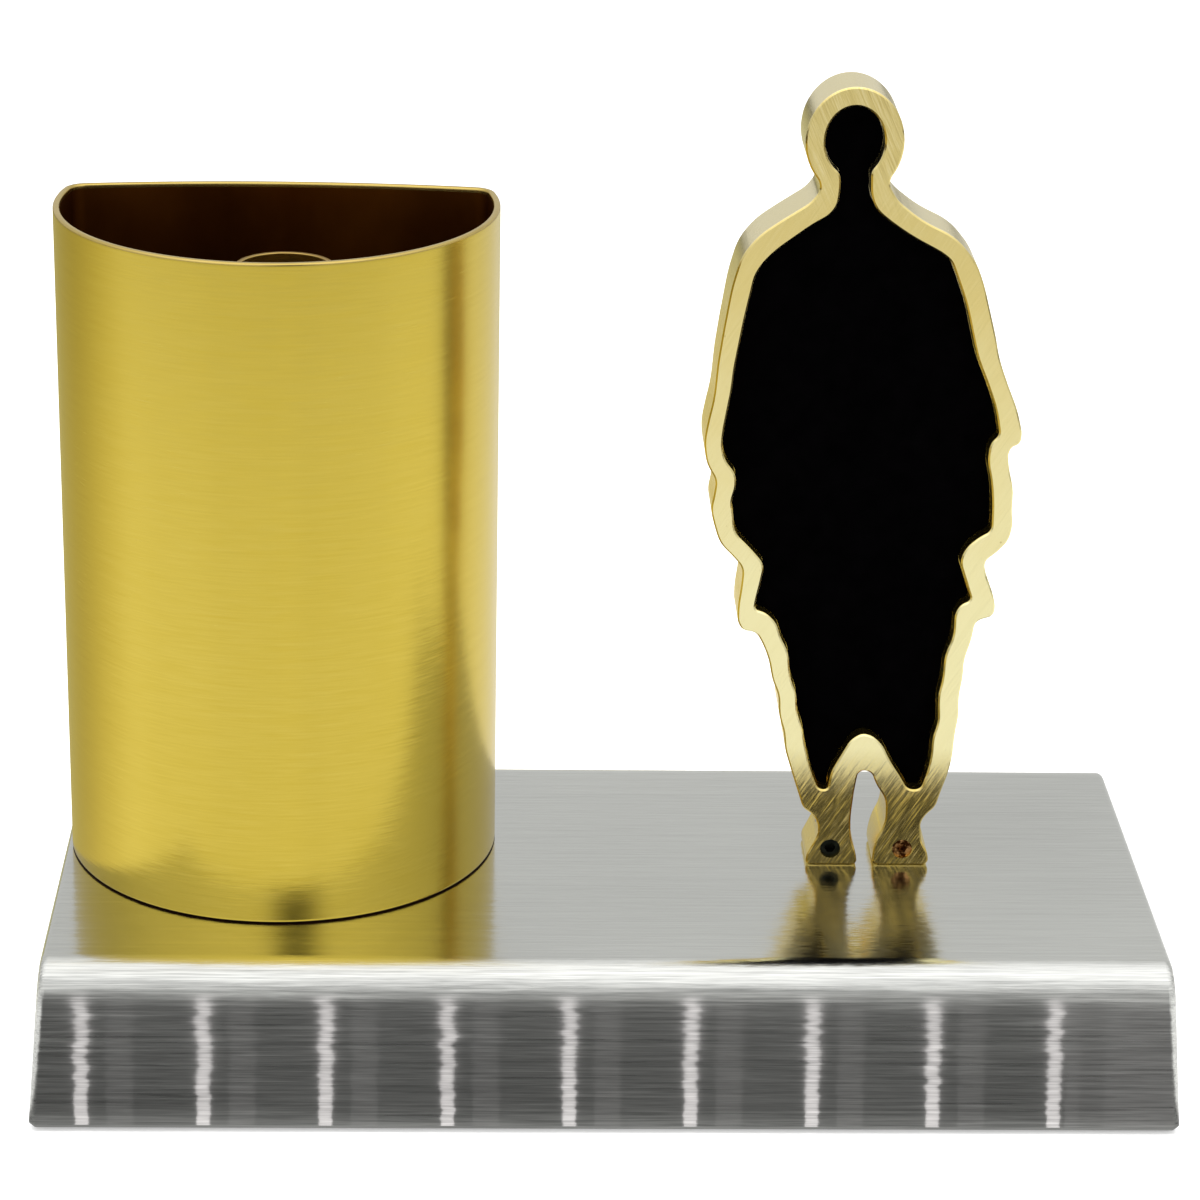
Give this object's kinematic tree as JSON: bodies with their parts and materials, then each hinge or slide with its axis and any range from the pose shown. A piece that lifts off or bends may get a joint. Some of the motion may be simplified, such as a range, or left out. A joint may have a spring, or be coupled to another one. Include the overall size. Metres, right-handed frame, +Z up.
{
  "type": "stand with half-round cup and standing figure",
  "caption": "Flared brushed steel stand carrying a half-round brass cup, a round lift-out sleeve inside it and a cut-out brass figure with a black inlay.",
  "frame": {"origin": "centre of the plinth on the surface it stands on, at the underside of the rubber feet", "axes": "+X to the right along the plinth, +Y to the back, +Z up"},
  "size_m": [0.1678, 0.0802, 0.1467],
  "materials": {
    "brushed_stainless": "long horizontal grain",
    "plain_steel": "mill finish",
    "zinc_steel": "zinc plated",
    "foot_rubber": "matt",
    "satin_brass": "fine satin, lacquered",
    "brushed_brass_plate": "diagonal brushing",
    "black_inlay": "smooth black",
    "black_steel": "black oxide"
  },
  "bodies": {
    "stand": {"base_shell": "brushed_stainless", "end_plate_left": "brushed_stainless", "end_plate_right": "brushed_stainless", "bottom_plate": "plain_steel", "plate_posts": "zinc_steel", "plate_screws": "zinc_steel", "foot_front_left": "foot_rubber", "foot_front_right": "foot_rubber", "foot_rear_left": "foot_rubber", "foot_rear_right": "foot_rubber", "cup_wall": "satin_brass", "cup_floor": "satin_brass", "cup_washers": "zinc_steel", "cup_screws": "zinc_steel", "sleeve_boss": "satin_brass", "boss_washer": "zinc_steel", "boss_screw": "zinc_steel", "figure_frame": "brushed_brass_plate", "figure_inlay": "black_inlay", "figure_studs": "zinc_steel", "stud_washers": "zinc_steel", "stud_nuts": "zinc_steel", "foot_set_screws": "black_steel"},
    "sleeve": {"inner_sleeve": "satin_brass"}
  },
  "joints": [
    {"name": "sleeve_lift", "type": "slide", "parent": "stand", "child": "sleeve", "axis": [0, 0, 1], "range_m": [0, 0.105]}
  ]
}
